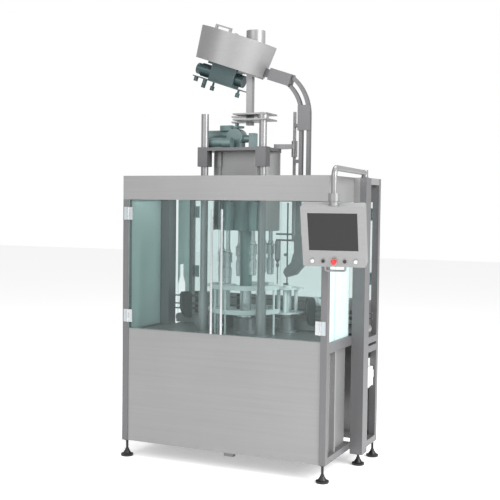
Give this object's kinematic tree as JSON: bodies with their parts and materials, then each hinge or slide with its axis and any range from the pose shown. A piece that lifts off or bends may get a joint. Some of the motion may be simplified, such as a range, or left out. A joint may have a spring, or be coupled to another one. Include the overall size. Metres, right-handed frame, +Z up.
{
  "type": "rotary capping machine",
  "caption": "Free-standing rotary bottle capping machine with a tilted cap sorter, curved cap chute, star wheels, conveyor, glazed guard and swinging operator panel.",
  "frame": {"origin": "on the floor, under the middle of the whole machine with its operator panel", "axes": "+Z up, +X to the right of someone who stands in front, +Y to the back"},
  "size_m": [2.104, 1.359, 3.4361],
  "materials": {
    "frame_steel": "fine brushed stainless steel",
    "panel_steel": "satin stainless sheet",
    "polished_steel": "polished stainless",
    "machined_aluminium": "satin anodised",
    "teal_paint": "semi-gloss grey-green machine paint",
    "white_plastic": "machined white plastic",
    "black_plastic": "moulded black plastic",
    "red_plastic": "glossy red",
    "button_white": "glossy white",
    "screen": "black screen glass",
    "clear_glass": "clear safety glass with a pale green tint"
  },
  "bodies": {
    "base": {"base_frame": "frame_steel", "guard_posts": "frame_steel", "portal_columns": "frame_steel", "top_fascia": "panel_steel", "levelling_feet": "black_plastic", "front_panel": "panel_steel", "side_panels": "panel_steel", "rear_panels": "panel_steel", "deck_plate": "panel_steel", "side_glass": "clear_glass", "hinge_plates": "machined_aluminium", "guide_columns": "polished_steel", "shaft_bearings": "panel_steel", "star_guides": "white_plastic", "base_drive": "teal_paint", "air_unit": "machined_aluminium", "conveyor_frame": "panel_steel", "conveyor_chain": "panel_steel", "guide_rails": "polished_steel", "rail_brackets": "black_plastic"},
    "front_left_leaf": {"front_left_door": "clear_glass", "front_left_fittings": "machined_aluminium"},
    "front_right_leaf": {"front_right_door": "clear_glass", "front_right_fittings": "machined_aluminium"},
    "rear_left_leaf": {"rear_left_door": "clear_glass", "rear_left_fittings": "machined_aluminium"},
    "rear_right_leaf": {"rear_right_door": "clear_glass", "rear_right_fittings": "machined_aluminium"},
    "turret": {"turret_stars": "white_plastic", "turret_column": "panel_steel"},
    "infeed_wheel": {"infeed_star": "white_plastic"},
    "outfeed_wheel": {"outfeed_star": "white_plastic"},
    "timing_screw": {"infeed_screw": "white_plastic"},
    "chain_roller": {"conveyor_roller": "panel_steel"},
    "head_lift": {"head_plate": "panel_steel", "housing": "panel_steel", "lift_drive": "teal_paint", "chute_stay": "panel_steel", "sorter_support": "panel_steel", "sorter_bowl": "panel_steel", "sorter_drive": "teal_paint", "cap_chute": "panel_steel", "cap_dispenser": "panel_steel"},
    "sorter_cover": {"sorter_lid": "panel_steel"},
    "sorter_wheel": {"sorter_disc": "white_plastic"},
    "head_rotor": {"capping_rotor": "teal_paint"},
    "panel_arm": {"hmi_arm": "panel_steel"},
    "operator_panel": {"hmi_panel": "panel_steel", "hmi_screen": "screen"},
    "push_button_1": {"button_1": "button_white"},
    "push_button_2": {"button_2": "black_plastic"},
    "push_button_3": {"button_3": "black_plastic"},
    "push_button_4": {"button_4": "button_white"},
    "stop_head": {"stop_button": "red_plastic"},
    "head_1": {"capping_head_1": "polished_steel"},
    "head_2": {"capping_head_2": "polished_steel"},
    "head_3": {"capping_head_3": "polished_steel"},
    "head_4": {"capping_head_4": "polished_steel"},
    "head_5": {"capping_head_5": "polished_steel"},
    "head_6": {"capping_head_6": "polished_steel"}
  },
  "joints": [
    {"name": "front_left_door_hinge", "type": "hinge", "parent": "base", "child": "front_left_leaf", "pos_m": [-0.988, -0.275, 1.5], "axis": [0, 0, 1], "range_deg": [-110, 0]},
    {"name": "front_right_door_hinge", "type": "hinge", "parent": "base", "child": "front_right_leaf", "pos_m": [0.632, -0.275, 1.5], "axis": [0, 0, 1], "range_deg": [0, 68]},
    {"name": "rear_left_door_hinge", "type": "hinge", "parent": "base", "child": "rear_left_leaf", "pos_m": [-0.888, 0.673, 1.5], "axis": [0, 0, 1], "range_deg": [0, 110]},
    {"name": "rear_right_door_hinge", "type": "hinge", "parent": "base", "child": "rear_right_leaf", "pos_m": [0.732, 0.673, 1.5], "axis": [0, 0, 1], "range_deg": [-110, 0]},
    {"name": "turret_spin", "type": "hinge", "parent": "base", "child": "turret", "pos_m": [-0.178, 0.193, 1], "axis": [0, 0, 1], "continuous": true},
    {"name": "infeed_spin", "type": "hinge", "parent": "base", "child": "infeed_wheel", "pos_m": [0.11961, 0.343, 1], "axis": [0, 0, 1], "continuous": true},
    {"name": "outfeed_spin", "type": "hinge", "parent": "base", "child": "outfeed_wheel", "pos_m": [-0.47561, 0.343, 1], "axis": [0, 0, 1], "continuous": true},
    {"name": "screw_spin", "type": "hinge", "parent": "base", "child": "timing_screw", "pos_m": [0.236, 0.54, 1.232], "axis": [1, 0, 0], "continuous": true},
    {"name": "roller_spin", "type": "hinge", "parent": "base", "child": "chain_roller", "pos_m": [0.7357, 0.476, 1.0487], "axis": [0, 1, 0], "continuous": true},
    {"name": "head_height", "type": "slide", "parent": "base", "child": "head_lift", "axis": [0, 0, 1], "range_m": [0, 0.05]},
    {"name": "rotor_spin", "type": "hinge", "parent": "head_lift", "child": "head_rotor", "pos_m": [-0.178, 0.193, 2.18], "axis": [0, 0, 1], "continuous": true},
    {"name": "head_1_spin", "type": "hinge", "parent": "head_rotor", "child": "head_1", "pos_m": [-0.24639, 0.0051, 1.64], "axis": [0, 0, 1], "continuous": true},
    {"name": "head_2_spin", "type": "hinge", "parent": "head_rotor", "child": "head_2", "pos_m": [-0.04947, 0.03982, 1.64], "axis": [0, 0, 1], "continuous": true},
    {"name": "head_3_spin", "type": "hinge", "parent": "head_rotor", "child": "head_3", "pos_m": [0.01892, 0.22772, 1.64], "axis": [0, 0, 1], "continuous": true},
    {"name": "head_4_spin", "type": "hinge", "parent": "head_rotor", "child": "head_4", "pos_m": [-0.10961, 0.3809, 1.64], "axis": [0, 0, 1], "continuous": true},
    {"name": "head_5_spin", "type": "hinge", "parent": "head_rotor", "child": "head_5", "pos_m": [-0.30653, 0.34618, 1.64], "axis": [0, 0, 1], "continuous": true},
    {"name": "head_6_spin", "type": "hinge", "parent": "head_rotor", "child": "head_6", "pos_m": [-0.37492, 0.15828, 1.64], "axis": [0, 0, 1], "continuous": true},
    {"name": "sorter_lid_hinge", "type": "hinge", "parent": "head_lift", "child": "sorter_cover", "pos_m": [-0.16434, 0.083, 3.31459], "axis": [0, 1, 0], "range_deg": [0, 75]},
    {"name": "sorter_disc_spin", "type": "hinge", "parent": "head_lift", "child": "sorter_wheel", "pos_m": [-0.244, 0.083, 3.201], "axis": [0.3173, 0, 0.9483], "continuous": true},
    {"name": "panel_arm_swing", "type": "hinge", "parent": "base", "child": "panel_arm", "pos_m": [0.753, 0.333, 2.268], "axis": [0, 0, 1], "range_deg": [-25, 75]},
    {"name": "panel_swivel", "type": "hinge", "parent": "panel_arm", "child": "operator_panel", "pos_m": [0.832, -0.587, 2.04], "axis": [0, 0, 1], "range_deg": [-60, 60]},
    {"name": "button_1_press", "type": "slide", "parent": "operator_panel", "child": "push_button_1", "axis": [-0.1441, 0.9417, 0.304], "range_m": [0, 0.004], "stiffness_N_per_m": 400, "springref_m": -0.001},
    {"name": "button_2_press", "type": "slide", "parent": "operator_panel", "child": "push_button_2", "axis": [-0.1441, 0.9417, 0.304], "range_m": [0, 0.004], "stiffness_N_per_m": 400, "springref_m": -0.001},
    {"name": "button_3_press", "type": "slide", "parent": "operator_panel", "child": "push_button_3", "axis": [-0.1441, 0.9417, 0.304], "range_m": [0, 0.004], "stiffness_N_per_m": 400, "springref_m": -0.001},
    {"name": "button_4_press", "type": "slide", "parent": "operator_panel", "child": "push_button_4", "axis": [-0.1441, 0.9417, 0.304], "range_m": [0, 0.004], "stiffness_N_per_m": 400, "springref_m": -0.001},
    {"name": "stop_press", "type": "slide", "parent": "operator_panel", "child": "stop_head", "axis": [-0.1441, 0.9417, 0.304], "range_m": [0, 0.004], "stiffness_N_per_m": 800, "springref_m": -0.001}
  ],
  "couplings": [
    {"joint": "infeed_spin", "follows": "turret_spin", "ratio": -1.5},
    {"joint": "outfeed_spin", "follows": "turret_spin", "ratio": -1.5},
    {"joint": "screw_spin", "follows": "turret_spin", "ratio": 6},
    {"joint": "roller_spin", "follows": "turret_spin", "ratio": 6.6654},
    {"joint": "rotor_spin", "follows": "turret_spin", "ratio": 1},
    {"joint": "head_1_spin", "follows": "turret_spin", "ratio": 3},
    {"joint": "head_2_spin", "follows": "turret_spin", "ratio": 3},
    {"joint": "head_3_spin", "follows": "turret_spin", "ratio": 3},
    {"joint": "head_4_spin", "follows": "turret_spin", "ratio": 3},
    {"joint": "head_5_spin", "follows": "turret_spin", "ratio": 3},
    {"joint": "head_6_spin", "follows": "turret_spin", "ratio": 3}
  ]
}
